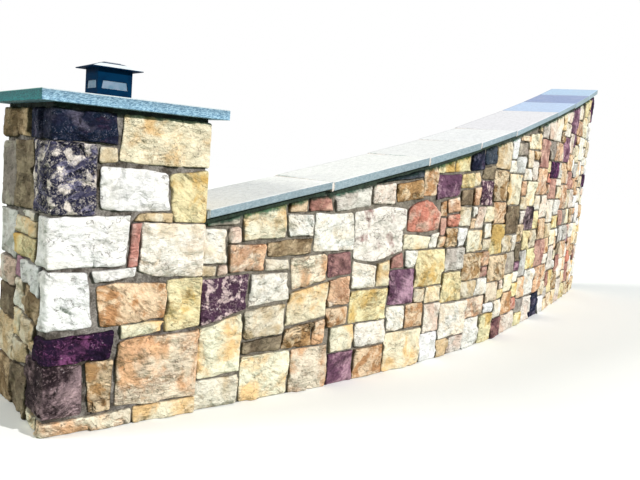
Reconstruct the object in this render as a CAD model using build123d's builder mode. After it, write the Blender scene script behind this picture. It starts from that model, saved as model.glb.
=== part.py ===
from build123d import *
import os
from math import cos, hypot, sin

# A fieldstone retaining wall that climbs away from a square pier in straight bays.
# Lengths are in millimetres. The origin is the centre of the pier's foot, the wall
# leaves the pier along +X and curves towards +Y, and +Z is up.

# Square pier at the low end
pier_width = 710.0
pier_height = 1367.0
cap_overhang = 53.0
cap_thickness = 46.0
cap_edge_break = 3.0

# Bays of the wall, each under one slab of coping, measured along the coping's front edge
first_bay_length = 735.0
second_bay_length = 810.0
third_bay_length = 615.0
fourth_bay_length = 580.0
fifth_bay_length = 1135.0
sixth_bay_length = 695.0
seventh_bay_length = 705.0
eighth_bay_length = 645.0
near_arc_radius = 9000.0
near_arc_length = 3270.0
far_arc_radius = 30000.0

# Bluestone coping, cut from two thicknesses of stone
coping_start_height = 958.0
coping_slope = 0.215
coping_width = 495.0
thin_coping = 37.0
thick_coping = 45.0
coping_overhang = 22.0
joint_width = 12.0
joint_recess = 4.0

# Solar pier light
lamp_body_width = 158.0
lamp_body_wall = 4.0
lamp_base_height = 6.0
lamp_base_lip = 3.0
lamp_eave_height = 137.0
window_sill_height = 49.0
window_height = 35.0
window_foot_margin = 19.0
window_head_margin = 25.0
pane_thickness = 3.0
pane_lap = 4.0
roof_width = 231.0
roof_edge_thickness = 4.0
roof_top_width = 92.0
roof_height = 28.0
panel_width = 78.0
panel_thickness = 4.0
light_unit_radius = 28.0
light_unit_height = 46.0

os.makedirs("parts", exist_ok=True)


def write(part, name):
    """Label a finished piece and write it to its own file."""
    part.label = name
    export_step(part, f"parts/{name}.step")


# Pier: one square mass of mortared fieldstone with the light's cap slab on it.
with BuildPart() as pier_masonry:
    with BuildSketch(Plane.XY):
        Rectangle(pier_width, pier_width)
    extrude(amount=pier_height)
write(pier_masonry.part, "pier_masonry")

cap_width = pier_width + 2 * cap_overhang
with BuildPart() as pier_cap:
    with BuildSketch(Plane.XY.offset(pier_height)):
        Rectangle(cap_width, cap_width)
    extrude(amount=cap_thickness)
    chamfer(pier_cap.faces().sort_by(Axis.Z)[-1].edges(), cap_edge_break)
write(pier_cap.part, "pier_cap")


# Plan of the wall: the coping's front edge runs as straight bays laid along two arcs.
def heading_at(station):
    """Heading in radians of the two arcs at a distance from the pier."""
    near = min(station, near_arc_length)
    far = max(station - near_arc_length, 0.0)
    return near / near_arc_radius + far / far_arc_radius


bays = [
    (first_bay_length, thin_coping),
    (second_bay_length, thick_coping),
    (third_bay_length, thick_coping),
    (fourth_bay_length, thin_coping),
    (fifth_bay_length, thin_coping),
    (sixth_bay_length, thin_coping),
    (seventh_bay_length, thick_coping),
    (eighth_bay_length, thick_coping),
]
bay_lengths = [length for length, thickness in bays]
bay_count = len(bays)
stations = [sum(bay_lengths[:index]) for index in range(bay_count + 1)]
headings = [heading_at((stations[index] + stations[index + 1]) / 2) for index in range(bay_count)]

corners = [(pier_width / 2, -pier_width / 2)]
for length, heading in zip(bay_lengths, headings):
    last_x, last_y = corners[-1]
    corners.append((last_x + length * cos(heading), last_y + length * sin(heading)))

# Each bay is cut at the pier's face, on the bisector of a bend, or square at the house end.
cut_headings = [0.0]
cut_headings += [(headings[index] + headings[index + 1]) / 2 for index in range(bay_count - 1)]
cut_headings += [headings[-1]]


def plan_point(corner, bay, setback, along=0.0):
    """Point on the cut line at a corner, set back from a bay's front edge."""
    cut = cut_headings[corner]
    reach = setback / cos(headings[bay] - cut)
    start_x, start_y = corners[corner]
    x = start_x + along * cos(headings[bay]) - reach * sin(cut)
    y = start_y + along * sin(headings[bay]) + reach * cos(cut)
    return (x, y)


def footprint(bay, front, back, start=0.0, stop=None):
    """Four plan points of a bay's strip, from one setback to another."""
    last = bay + 1 if stop is None else bay
    end = 0.0 if stop is None else stop
    return [
        plan_point(bay, bay, front, start),
        plan_point(last, bay, front, end),
        plan_point(last, bay, back, end),
        plan_point(bay, bay, back, start),
    ]


def sloped_plane(bay, drop):
    """Plane of a bay's coping, level across and meeting its neighbours at mid width."""
    low_x, low_y = plan_point(bay, bay, coping_width / 2)
    high_x, high_y = plan_point(bay + 1, bay, coping_width / 2)
    low_z = coping_start_height + coping_slope * stations[bay]
    rise = coping_slope * bay_lengths[bay]
    run = hypot(high_x - low_x, high_y - low_y)
    steepness = rise / run
    vertical_drop = drop * hypot(1.0, steepness)
    normal = (-steepness * cos(headings[bay]), -steepness * sin(headings[bay]), 1.0)
    return Plane(origin=(low_x, low_y, low_z - vertical_drop), z_dir=normal)


def sloped_slab(outline, lower, upper):
    """Upright prism on an outline, trimmed between two sloped planes."""
    with BuildPart() as slab:
        with BuildSketch(Plane.XY):
            with BuildLine():
                Polyline(*outline, close=True)
            make_face()
        extrude(amount=wall_top_limit)
        split(bisect_by=upper, keep=Keep.BOTTOM)
        if lower is not None:
            split(bisect_by=lower, keep=Keep.TOP)
    return slab.part


# Wall bays and coping: a solid wedge of masonry under each slab, and a mortar joint
# between one slab and the next.
wall_top_limit = coping_start_height + coping_slope * stations[-1] + 2 * coping_width
for bay, (length, thickness) in enumerate(bays):
    number = bay + 1
    bed = sloped_plane(bay, thickness)
    top = sloped_plane(bay, 0.0)
    joint_top = sloped_plane(bay, joint_recess)

    masonry = footprint(bay, coping_overhang, coping_width - coping_overhang)
    write(sloped_slab(masonry, None, bed), f"wall_bay_{number}")

    slab = footprint(bay, 0.0, coping_width, start=joint_width)
    write(sloped_slab(slab, bed, top), f"coping_slab_{number}")

    joint = footprint(bay, joint_recess, coping_width - joint_recess, stop=joint_width)
    write(sloped_slab(joint, bed, joint_top), f"coping_joint_{number}")

# Pier light: a square black housing with a frosted pane low in each side, a wide
# low roof and a solar panel on top.
lamp_floor = pier_height + cap_thickness
body_floor = lamp_floor + lamp_base_height
lamp_eave = lamp_floor + lamp_eave_height
body_inside = lamp_body_width - 2 * lamp_body_wall
sill = lamp_floor + window_sill_height
window_centre = sill + window_height / 2

base_width = lamp_body_width + 2 * lamp_base_lip
with BuildPart() as lamp_base:
    with BuildSketch(Plane.XY.offset(lamp_floor)):
        Rectangle(base_width, base_width)
    extrude(amount=lamp_base_height)
write(lamp_base.part, "lamp_base")


def window_outline(lap):
    """Window outline in an upright plane through its middle, grown by a lap."""
    low = lamp_body_width / 2 - window_foot_margin + lap
    high = lamp_body_width / 2 - window_head_margin + lap
    half = window_height / 2 + lap
    return [(-low, -half), (low, -half), (high, half), (-high, half)]


window_planes = {
    "front": Plane(origin=(0, 0, window_centre), x_dir=(1, 0, 0), z_dir=(0, -1, 0)),
    "right": Plane(origin=(0, 0, window_centre), x_dir=(0, 1, 0), z_dir=(1, 0, 0)),
    "back": Plane(origin=(0, 0, window_centre), x_dir=(-1, 0, 0), z_dir=(0, 1, 0)),
    "left": Plane(origin=(0, 0, window_centre), x_dir=(0, -1, 0), z_dir=(-1, 0, 0)),
}

with BuildPart() as lamp_body:
    with BuildSketch(Plane.XY.offset(body_floor)):
        Rectangle(lamp_body_width, lamp_body_width)
        Rectangle(body_inside, body_inside, mode=Mode.SUBTRACT)
    extrude(amount=lamp_eave - body_floor)
    for side_plane in window_planes.values():
        with BuildSketch(side_plane):
            with BuildLine():
                Polyline(*window_outline(0.0), close=True)
            make_face()
        extrude(amount=lamp_body_width, mode=Mode.SUBTRACT)
write(lamp_body.part, "lamp_body")

for side, side_plane in window_planes.items():
    with BuildPart() as lamp_pane:
        with BuildSketch(side_plane.offset(body_inside / 2 - pane_thickness)):
            with BuildLine():
                Polyline(*window_outline(pane_lap), close=True)
            make_face()
        extrude(amount=pane_thickness)
    write(lamp_pane.part, f"lamp_pane_{side}")

roof_slope_floor = lamp_eave + roof_edge_thickness
with BuildPart() as lamp_roof:
    with BuildSketch(Plane.XY.offset(lamp_eave)):
        Rectangle(roof_width, roof_width)
    extrude(amount=roof_edge_thickness)
    with BuildSketch(Plane.XY.offset(roof_slope_floor)):
        Rectangle(roof_width, roof_width)
    with BuildSketch(Plane.XY.offset(lamp_eave + roof_height)):
        Rectangle(roof_top_width, roof_top_width)
    loft()
write(lamp_roof.part, "lamp_roof")

with BuildPart() as lamp_solar_panel:
    with BuildSketch(Plane.XY.offset(lamp_eave + roof_height)):
        Rectangle(panel_width, panel_width)
    extrude(amount=panel_thickness)
write(lamp_solar_panel.part, "lamp_solar_panel")

# The battery and light unit hangs from the roof inside the housing.
with BuildPart() as lamp_light_unit:
    with BuildSketch(Plane.XY.offset(lamp_eave)):
        Circle(light_unit_radius)
    extrude(amount=-light_unit_height)
write(lamp_light_unit.part, "lamp_light_unit")
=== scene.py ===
import math
import random

import bmesh
import bpy
import numpy
from mathutils import Euler, Matrix, Vector, noise


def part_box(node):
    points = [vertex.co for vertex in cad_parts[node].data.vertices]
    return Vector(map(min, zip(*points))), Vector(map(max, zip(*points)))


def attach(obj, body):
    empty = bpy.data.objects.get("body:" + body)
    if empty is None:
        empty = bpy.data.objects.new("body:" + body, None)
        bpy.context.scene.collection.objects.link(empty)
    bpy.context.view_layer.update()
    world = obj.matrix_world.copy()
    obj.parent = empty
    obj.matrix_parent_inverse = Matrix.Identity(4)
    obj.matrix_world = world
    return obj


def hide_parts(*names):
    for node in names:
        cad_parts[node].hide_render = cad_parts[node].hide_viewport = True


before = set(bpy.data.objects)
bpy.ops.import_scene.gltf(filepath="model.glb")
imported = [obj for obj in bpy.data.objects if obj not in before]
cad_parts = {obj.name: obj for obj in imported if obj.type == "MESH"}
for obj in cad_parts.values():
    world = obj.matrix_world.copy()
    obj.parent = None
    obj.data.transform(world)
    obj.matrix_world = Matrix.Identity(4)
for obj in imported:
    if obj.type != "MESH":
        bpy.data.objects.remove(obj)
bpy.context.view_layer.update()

# Camera: a hand-held view from the front left, a little below the height of the pier's cap,
# looking along the wall as it climbs away. The picture is 640 pixels wide.
picture_width = 640
focal_pixels = 706.9
camera_place = Vector((-1.1997, -3.1994, 1.2321))
camera_turn = math.radians(37.843)
camera_tilt = math.radians(6.548)
camera_roll = math.radians(4.733)

camera_data = bpy.data.cameras.new("camera")
camera_data.sensor_width = 36.0
camera_data.lens = focal_pixels * camera_data.sensor_width / picture_width
camera_data.clip_start = 0.05
camera = bpy.data.objects.new("camera", camera_data)
level_view = Euler((math.pi / 2 - camera_tilt, 0.0, -camera_turn)).to_matrix()
rolled_view = level_view @ Matrix.Rotation(camera_roll, 3, "Z")
camera.matrix_world = Matrix.Translation(camera_place) @ rolled_view.to_4x4()
bpy.context.scene.collection.objects.link(camera)
bpy.context.scene.camera = camera
bpy.context.scene.view_settings.view_transform = "Standard"


# Fieldstones of the pier: split stones of many colours, laid by hand with raked joints.
# Each stone is a flat-faced block with worn arrises, set 6 cm into the mortar behind it.
def paint(red, green, blue):
    """Colour as a paint chart gives it, 0 to 255, as a linear colour for the shaders."""
    values = []
    for value in (red, green, blue):
        share = value / 255
        values.append(share / 12.92 if share <= 0.04045 else ((share + 0.055) / 1.055) ** 2.4)
    return (*values, 1.0)


def feed(tree, made, values):
    """A node with values or links for its inputs, each given by name or number."""
    for key, value in values.items():
        if isinstance(value, bpy.types.NodeSocket):
            tree.links.new(value, made.inputs[key])
        else:
            made.inputs[key].default_value = value
    return made


def add(tree, kind, settings=None, **sockets):
    """Node of a kind, with its settings and with values or links for its named sockets."""
    made = tree.nodes.new("ShaderNode" + kind)
    for setting, value in (settings or {}).items():
        setattr(made, setting, value)
    return feed(tree, made, {name.replace("_", " "): value for name, value in sockets.items()})


def new_material(name, roughness):
    """Material with its node tree, its main shader and the place of a point on its object."""
    material = bpy.data.materials.new(name)
    material.use_nodes = True
    tree = material.node_tree
    shader = tree.nodes["Principled BSDF"]
    shader.inputs["Roughness"].default_value = roughness
    return material, tree, shader, add(tree, "TexCoord").outputs["Object"]


def mix(tree, factor, first, second, blend="MIX"):
    """Colour mixed from two colours or links by a factor or link."""
    made = add(tree, "Mix", {"data_type": "RGBA", "blend_type": blend})
    return feed(tree, made, {0: factor, 6: first, 7: second}).outputs[2]


def fade(tree, value, low, high, start=0.0, end=1.0):
    """A value that runs smoothly from start to end while another runs from low to high."""
    made = add(tree, "MapRange", {"interpolation_type": "SMOOTHSTEP"}, Value=value,
               From_Min=low, From_Max=high, To_Min=start, To_Max=end)
    return made.outputs[0]


def maths(tree, operation, first, second=0.0):
    """One arithmetic step with one or two values or links."""
    made = add(tree, "Math", {"operation": operation})
    return feed(tree, made, {0: first, 1: second}).outputs[0]


def times(tree, first, second):
    """Product of two values or links."""
    return maths(tree, "MULTIPLY", first, second)


def plus(tree, first, second):
    """Sum of two values or links."""
    return maths(tree, "ADD", first, second)


def minus(tree, first, second):
    """Difference of two values or links."""
    return maths(tree, "SUBTRACT", first, second)


def apart(tree, value, middle):
    """Distance of a value from a middle."""
    return maths(tree, "ABSOLUTE", minus(tree, value, middle))


def vectors(tree, operation, first, second, output="Vector"):
    """One step of vector arithmetic between two vectors or links."""
    made = add(tree, "VectorMath", {"operation": operation})
    return feed(tree, made, {0: first, 1: second}).outputs[output]


def clouds(tree, place, scale, detail, roughness=0.5, distortion=0.0, seed=None):
    """Cloudy pattern about 0.5, with one of its own for each seed where a seed is given."""
    own = {} if seed is None else {"noise_dimensions": "4D"}
    made = add(tree, "TexNoise", own, Vector=place, Scale=scale, Detail=detail,
               Roughness=roughness, Distortion=distortion)
    if seed is not None:
        tree.links.new(seed, made.inputs["W"])
    return made.outputs["Fac"]


def carried(tree, name):
    """A value that a piece's mesh carries from point to point."""
    return add(tree, "Attribute", {"attribute_name": name}).outputs["Fac"]


def toned(tree, colour, value):
    """Colour made darker or lighter by a value."""
    even = add(tree, "CombineXYZ", X=value, Y=value, Z=value).outputs[0]
    return mix(tree, 1.0, colour, even, "MULTIPLY")


def roughen(tree, shader, height, strength, distance):
    """Small relief on a surface from a height."""
    bump = add(tree, "Bump", Height=height, Strength=strength, Distance=distance)
    tree.links.new(bump.outputs[0], shader.inputs["Normal"])


def chips(tree, place, scale):
    """Height of flat chips at all angles, as a hammer leaves them, about -0.4 to 0.4."""
    cells = add(tree, "TexVoronoi", Vector=place, Scale=scale)
    offset = vectors(tree, "SUBTRACT", place, cells.outputs["Position"])
    tilt = vectors(tree, "SUBTRACT", cells.outputs["Color"], (0.5, 0.5, 0.5))
    return times(tree, vectors(tree, "DOT_PRODUCT", offset, tilt, "Value"), scale)


# Painted shadow: dark green tone of the shade close under the cap and the coping
painted_shadow_tone = (0.10, 0.22, 0.17, 1)


def painted_shadow_line(tree, place):
    """Share of the painted shadow, a dark green line close under the cap and the coping."""
    ragged = fade(tree, clouds(tree, place, 35.0, 4.0), 0.3, 0.7, -0.007, 0.007)
    depth = plus(tree, carried(tree, "depth"), ragged)
    return fade(tree, depth, 0.030, 0.056, 1.0, 0.0)


def fieldstone_material():
    """One stone finish: each stone's own colour, stain, cracks and layers come as attributes."""
    material, tree, shader, place = new_material("fieldstone", 0.9)
    body, stain, vein = (add(tree, "Attribute", {"attribute_name": name}).outputs
                         for name in ("body", "stain", "vein"))
    seed = carried(tree, "seed")

    # Stain in patches, with hard or soft edges
    spread = fade(tree, body["Alpha"], 0.2, 1.0, 24.0, 6.5)
    blotch = clouds(tree, place, spread, 7.0, 0.60, 0.5, seed)
    limit = minus(tree, 0.68, times(tree, stain["Alpha"], 0.36))
    softness = times(tree, body["Alpha"], 0.09)
    over = maths(tree, "DIVIDE", minus(tree, blotch, limit), softness)
    patch = fade(tree, over, -1.0, 1.0)
    colour = mix(tree, patch, body["Color"], stain["Color"])

    # Bedding of the stone, tilted differently in each
    lean = minus(tree, maths(tree, "FRACT", times(tree, seed, 3.7)), 0.5)
    tilted = add(tree, "VectorRotate", {"rotation_type": "Y_AXIS"}, Vector=place,
                 Angle=times(tree, lean, 1.1)).outputs[0]
    stretched = add(tree, "Mapping", Vector=tilted, Scale=(3.0, 3.0, 10.0)).outputs[0]
    streak = clouds(tree, stretched, 2.3, 8.0, 0.66, 0.8, seed)
    here = fade(tree, clouds(tree, place, 10.0, 3.0, seed=seed), 0.46, 0.60)
    line = fade(tree, apart(tree, streak, 0.5), 0.0, 0.05, 1.0, 0.0)
    line = times(tree, times(tree, line, here), vein["Alpha"])
    colour = mix(tree, line, colour, vein["Color"])
    bedding = times(tree, fade(tree, streak, 0.42, 0.54, 1.0, 0.0), carried(tree, "layers"))
    colour = mix(tree, times(tree, bedding, 0.6), colour, vein["Color"])

    # Pale crystals and dark pits in the dark stones
    deep = add(tree, "RGBToBW", Color=body["Color"]).outputs["Val"]
    deep = fade(tree, deep, 0.04, 0.20, 1.0, 0.0)
    crystal = clouds(tree, tilted, 95.0, 4.0, 0.6, 0.8)
    bright = times(tree, fade(tree, crystal, 0.49, 0.62), deep)
    bright = times(tree, bright, fade(tree, streak, 0.42, 0.58, 0.0, 0.42))
    colour = mix(tree, bright, colour, stain["Color"])
    pits = times(tree, fade(tree, crystal, 0.36, 0.50, 1.0, 0.0), deep)
    colour = mix(tree, times(tree, pits, 0.4), colour, (0.30, 0.28, 0.34, 1), "MULTIPLY")
    fleck = times(tree, fade(tree, crystal, 0.65, 0.70), deep)
    fleck = times(tree, fleck, fade(tree, streak, 0.46, 0.56, 0.0, 0.9))
    colour = mix(tree, fleck, colour, paint(236, 230, 236))

    # Chips of the hammer, large and small, with their edges bent
    grain = clouds(tree, place, 46.0, 9.0, 0.72)
    fine = clouds(tree, place, 300.0, 3.0, 0.7)
    sway = add(tree, "TexNoise", {"noise_dimensions": "4D"}, Vector=place, W=seed, Scale=13.0,
               Detail=5.0, Roughness=0.6).outputs["Color"]
    bend = vectors(tree, "MULTIPLY", vectors(tree, "SUBTRACT", sway, (0.5, 0.5, 0.5)),
                   (0.07, 0.07, 0.07))
    bent = vectors(tree, "ADD", tilted, bend)
    flat = add(tree, "Mapping", Vector=bent, Scale=(1.0, 1.0, 2.1)).outputs[0]
    large = chips(tree, flat, 15.0)
    small = chips(tree, flat, 38.0)

    # Broken cracks, as wide as a pencil line
    winding = clouds(tree, flat, 4.6, 5.0, 0.55, 0.3, seed)
    crack = fade(tree, apart(tree, winding, 0.52), 0.0, 0.011, 1.0, 0.0)
    crack = times(tree, times(tree, crack, carried(tree, "cracks")), fade(tree, grain, 0.45, 0.58))
    colour = mix(tree, times(tree, crack, 0.9), colour, (0.18, 0.14, 0.12, 1), "MULTIPLY")

    # Relief: painted shade with some grime in its hollows, brown in the warm stones, and painted light
    # on its ridges
    rugged = clouds(tree, flat, 15.0, 6.0, 0.62, 0.3, seed)
    crease = apart(tree, rugged, 0.5)
    relief = times(tree, large, 2.9)
    for part, share in ((small, 1.2), (grain, 0.8), (crease, -2.2), (streak, 1.2)):
        relief = plus(tree, relief, times(tree, part, share))
    # Patches where the relief is rough and its painted shade strongest; elsewhere the shade is faint
    worn = fade(tree, clouds(tree, tilted, 6.0, 3.0, seed=seed), 0.42, 0.62)
    hollow_shade = fade(tree, relief, -0.9, 0.2, 0.55, 1.03)
    shade = fade(tree, grain, 0.28, 0.49, 0.80, 1.03)
    dirt_and_shade = times(tree, hollow_shade, shade)
    faint_shade = plus(tree, times(tree, dirt_and_shade, 0.35), 0.65)
    dirt_and_shade = mix(tree, worn, faint_shade, dirt_and_shade)
    held = plus(tree, 0.32, times(tree, vein["Alpha"], 1.15))
    gone = minus(tree, 1.0, dirt_and_shade)
    dirt_and_shade = minus(tree, 1.0, times(tree, gone, held))
    speck = fade(tree, fine, 0.25, 0.75, 0.95, 1.05)
    both = maths(tree, "MAXIMUM", times(tree, dirt_and_shade, speck), 0.05)
    stained = add(tree, "SeparateColor", Color=stain["Color"]).outputs
    warm = fade(tree, minus(tree, stained["Red"], stained["Blue"]), 0.05, 0.40, 0.0, 0.35)
    shaded = add(tree, "CombineXYZ", X=maths(tree, "POWER", both, minus(tree, 1.0, warm)),
                 Y=both, Z=maths(tree, "POWER", both, plus(tree, 1.0, warm))).outputs[0]
    colour = mix(tree, 1.0, colour, shaded, "MULTIPLY")
    # Darker rim round each stone: painted shade where its edge meets the joint, and mortar stain
    colour = toned(tree, colour, fade(tree, carried(tree, "rim"), 0.0, 0.18, 0.42, 1.0))
    # Painted shadow, dark green, close under the cap and the coping
    colour = mix(tree, painted_shadow_line(tree, place), colour, painted_shadow_tone, "MULTIPLY")
    tree.links.new(colour, shader.inputs["Base Color"])
    relief = times(tree, relief, fade(tree, worn, 0.0, 1.0, 0.5, 1.0))
    relief = times(tree, relief, plus(tree, 0.12, held))
    height = plus(tree, relief, times(tree, fine, 0.08))
    height = minus(tree, height, times(tree, crack, 0.35))
    roughen(tree, shader, height, 1.0, 0.012)
    shader.inputs["Specular IOR Level"].default_value = 0.14
    return material


# Each kind of stone: body colour, stain colour, the stain's share and how soft its edges are,
# vein colour and strength, cracks and layers.
stone_kinds = {
    "white": ((255, 254, 255), (249, 247, 244), 0.40, 1.0, (158, 152, 148), 0.20, 0.7, 0.1),
    "cream": ((255, 251, 242), (252, 236, 212), 0.35, 1.0, (176, 146, 112), 0.35, 0.8, 0.1),
    "pale": ((240, 238, 232), (206, 198, 190), 0.50, 1.0, (140, 132, 124), 0.45, 0.7, 0.2),
    "pinkish": ((252, 242, 230), (238, 212, 194), 0.40, 1.0, (166, 130, 112), 0.45, 0.7, 0.2),
    "stained": ((254, 249, 241), (172, 140, 136), 0.20, 0.85, (132, 100, 96), 0.20, 0.9, 0.1),
    "buff": ((244, 234, 212), (220, 194, 154), 0.45, 1.0, (142, 116, 84), 0.50, 0.6, 0.2),
    "tan": ((255, 246, 218), (250, 212, 156), 0.38, 1.0, (168, 124, 80), 0.33, 0.6, 0.2),
    "yellow": ((255, 241, 194), (234, 194, 118), 0.42, 1.0, (164, 122, 66), 0.55, 0.6, 0.2),
    "orange": ((253, 208, 170), (254, 236, 214), 0.40, 0.8, (156, 98, 64), 0.75, 0.8, 0.8),
    "brown": ((249, 220, 186), (204, 154, 110), 0.42, 0.7, (120, 84, 56), 0.55, 0.6, 0.2),
    "olive": ((222, 198, 164), (146, 124, 94), 0.50, 0.9, (86, 68, 50), 0.80, 0.6, 0.5),
    "dun": ((250, 224, 188), (190, 150, 104), 0.45, 0.7, (90, 70, 50), 0.90, 0.6, 0.5),
    "sand": ((255, 238, 212), (246, 196, 152), 0.42, 1.0, (134, 92, 62), 0.60, 0.8, 0.3),
    "red": ((250, 214, 202), (224, 158, 144), 0.50, 1.0, (112, 64, 58), 0.60, 0.4, 0.4),
    "rosy": ((226, 182, 164), (180, 130, 120), 0.50, 0.9, (104, 72, 68), 0.50, 0.5, 0.3),
    "pink": ((230, 150, 128), (248, 208, 186), 0.42, 0.9, (168, 92, 76), 0.60, 0.5, 0.3),
    "maroon": ((176, 132, 128), (110, 76, 82), 0.50, 0.8, (62, 42, 48), 0.80, 0.4, 0.5),
    "purple": ((46, 22, 52), (150, 88, 136), 0.40, 0.8, (26, 20, 42), 0.70, 0.4, 1.0),
    "mauve": ((196, 156, 174), (122, 84, 108), 0.50, 0.8, (72, 48, 68), 0.80, 0.4, 0.6),
    "umber": ((48, 36, 42), (188, 162, 168), 0.42, 1.0, (36, 26, 30), 0.80, 0.6, 0.5),
    "blotched": ((88, 60, 82), (240, 214, 214), 0.42, 0.40, (48, 32, 50), 0.60, 0.2, 0.2),
    "navy": ((14, 32, 56), (118, 116, 140), 0.30, 0.9, (56, 34, 60), 0.90, 0.4, 0.4),
    "quartzed": ((46, 46, 70), (252, 240, 230), 0.30, 0.45, (140, 136, 170), 0.90, 0.6, 0.3),
    "slate": ((60, 72, 86), (104, 108, 116), 0.40, 1.0, (34, 42, 52), 0.40, 0.3, 0.6),
    "schist": ((176, 160, 134), (128, 112, 92), 0.50, 1.0, (72, 62, 52), 0.60, 0.6, 0.6),
    "grey": ((204, 196, 182), (160, 150, 142), 0.50, 1.0, (100, 92, 88), 0.40, 0.6, 0.4),
}

# Pier stones seen in front and on the left: kind, lower edge and upper edge. Distances run
# along the faces from the near corner, to the right along the front and negative to the left.
pier_stones = [
    ("navy", [(-0.300, 1.225), (0.275, 1.222)], [(-0.300, 1.345), (0.262, 1.343)]),
    ("tan", [(0.286, 1.156), (0.500, 1.143), (0.800, 1.150)],
     [(0.302, 1.346), (0.500, 1.348), (0.800, 1.347)]),
    ("quartzed", [(-0.185, 0.925), (0.190, 0.925)], [(-0.250, 1.213), (0.185, 1.213)]),
    ("buff", [(0.200, 1.142), (0.278, 1.150)], [(0.198, 1.205), (0.272, 1.206)]),
    ("white", [(0.215, 0.953), (0.400, 0.944), (0.532, 0.950)],
     [(0.206, 1.130), (0.360, 1.124), (0.518, 1.113)]),
    ("yellow", [(0.552, 0.902), (0.760, 0.900)], [(0.532, 1.108), (0.760, 1.136)]),
    ("buff", [(0.362, 0.908), (0.540, 0.902)], [(0.392, 0.934), (0.542, 0.940)]),
    ("white", [(-0.148, 0.700), (0.335, 0.713)], [(-0.150, 0.903), (0.345, 0.925)]),
    ("red", [(0.350, 0.708), (0.388, 0.708)], [(0.357, 0.885), (0.400, 0.893)]),
    ("cream", [(0.398, 0.684), (0.550, 0.640), (0.760, 0.654)],
     [(0.410, 0.897), (0.550, 0.890), (0.760, 0.888)]),
    ("white", [(0.203, 0.643), (0.382, 0.664)], [(0.187, 0.686), (0.388, 0.700)]),
    ("white", [(-0.075, 0.446), (0.192, 0.452)], [(-0.078, 0.690), (0.165, 0.682)]),
    ("brown", [(0.236, 0.450), (0.390, 0.452), (0.522, 0.474)],
     [(0.208, 0.622), (0.380, 0.648), (0.528, 0.626)]),
    ("yellow", [(0.542, 0.408), (0.620, 0.405), (0.750, 0.424)],
     [(0.545, 0.637), (0.620, 0.648), (0.750, 0.642)]),
    ("tan", [(0.334, 0.392), (0.518, 0.412)], [(0.326, 0.448), (0.520, 0.460)]),
    ("purple", [(-0.125, 0.302), (0.284, 0.312)], [(-0.120, 0.406), (0.298, 0.427)]),
    ("umber", [(-0.220, 0.076), (0.166, 0.076)], [(-0.240, 0.290), (0.156, 0.291)]),
    ("dun", [(0.200, 0.082), (0.292, 0.080)], [(0.178, 0.300), (0.298, 0.302)]),
    ("sand", [(0.316, 0.090), (0.500, 0.086), (0.770, 0.090)],
     [(0.320, 0.372), (0.450, 0.394), (0.770, 0.400)]),
    ("sand", [(-0.080, 0.0), (0.395, 0.0)], [(-0.072, 0.052), (0.395, 0.070)]),
    ("tan", [(0.408, 0.0), (0.760, 0.0)], [(0.405, 0.074), (0.760, 0.078)]),
    ("olive", [(-0.500, 1.230), (-0.312, 1.226)], [(-0.500, 1.346), (-0.312, 1.345)]),
    ("olive", [(-0.800, 1.212), (-0.512, 1.225)], [(-0.800, 1.346), (-0.512, 1.346)]),
    ("schist", [(-0.470, 0.915), (-0.200, 0.925)], [(-0.465, 1.205), (-0.265, 1.212)]),
    ("grey", [(-0.790, 0.900), (-0.482, 0.912)], [(-0.790, 1.188), (-0.478, 1.204)]),
    ("cream", [(-0.350, 0.884), (-0.166, 0.884)], [(-0.345, 0.908), (-0.166, 0.912)]),
    ("yellow", [(-0.470, 0.704), (-0.162, 0.710)], [(-0.470, 0.792), (-0.162, 0.800)]),
    ("tan", [(-0.474, 0.804), (-0.164, 0.812)], [(-0.470, 0.874), (-0.165, 0.874)]),
    ("pale", [(-0.810, 0.690), (-0.486, 0.676)], [(-0.810, 0.884), (-0.485, 0.888)]),
    ("white", [(-0.332, 0.608), (-0.090, 0.566)], [(-0.345, 0.690), (-0.090, 0.694)]),
    ("mauve", [(-0.462, 0.604), (-0.350, 0.612)], [(-0.462, 0.690), (-0.357, 0.692)]),
    ("pinkish", [(-0.780, 0.545), (-0.472, 0.550)], [(-0.780, 0.668), (-0.474, 0.662)]),
    ("olive", [(-0.300, 0.462), (-0.090, 0.452)], [(-0.304, 0.594), (-0.092, 0.554)]),
    ("cream", [(-0.458, 0.470), (-0.312, 0.466)], [(-0.456, 0.590), (-0.316, 0.596)]),
    ("schist", [(-0.810, 0.405), (-0.470, 0.398)], [(-0.810, 0.532), (-0.470, 0.538)]),
    ("buff", [(-0.346, 0.342), (-0.138, 0.316)], [(-0.350, 0.454), (-0.136, 0.440)]),
    ("buff", [(-0.450, 0.216), (-0.256, 0.250)], [(-0.455, 0.330), (-0.240, 0.322)]),
    ("tan", [(-0.455, 0.344), (-0.360, 0.344)], [(-0.458, 0.454), (-0.362, 0.454)]),
    ("buff", [(-0.770, 0.202), (-0.464, 0.200)], [(-0.770, 0.392), (-0.466, 0.384)]),
    ("schist", [(-0.460, 0.0), (-0.236, 0.0)], [(-0.460, 0.202), (-0.238, 0.222)]),
    ("olive", [(-0.820, 0.0), (-0.474, 0.0)], [(-0.820, 0.190), (-0.474, 0.188)]),
    ("tan", [(-0.224, 0.0), (-0.092, 0.0)], [(-0.222, 0.062), (-0.092, 0.054)]),
]

# Kinds and weights of the stones that are laid by rule, in about the same proportions
common_kinds = {"cream": 20, "white": 3, "tan": 20, "yellow": 10, "buff": 12, "orange": 6,
                "brown": 8, "dun": 6, "pinkish": 9, "pink": 2, "rosy": 3, "maroon": 2, "sand": 8,
                "purple": 2, "mauve": 3, "blotched": 1, "navy": 1, "umber": 1, "slate": 1,
                "grey": 2, "pale": 6, "schist": 2}


def outline(points, headings):
    """Plan outline as (distance along it, point, direction that moves both sides outwards)."""
    made = []
    travelled = 0.0
    for index, point in enumerate(points):
        if index:
            travelled += (point - points[index - 1]).length
        before = headings[max(index - 1, 0)]
        after = headings[min(index, len(headings) - 1)]
        half_turn = (after - before) / 2
        middle = before + half_turn
        spread = Vector((math.sin(middle), -math.cos(middle))) / math.cos(half_turn)
        made.append((travelled, point, spread))
    return made


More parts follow.
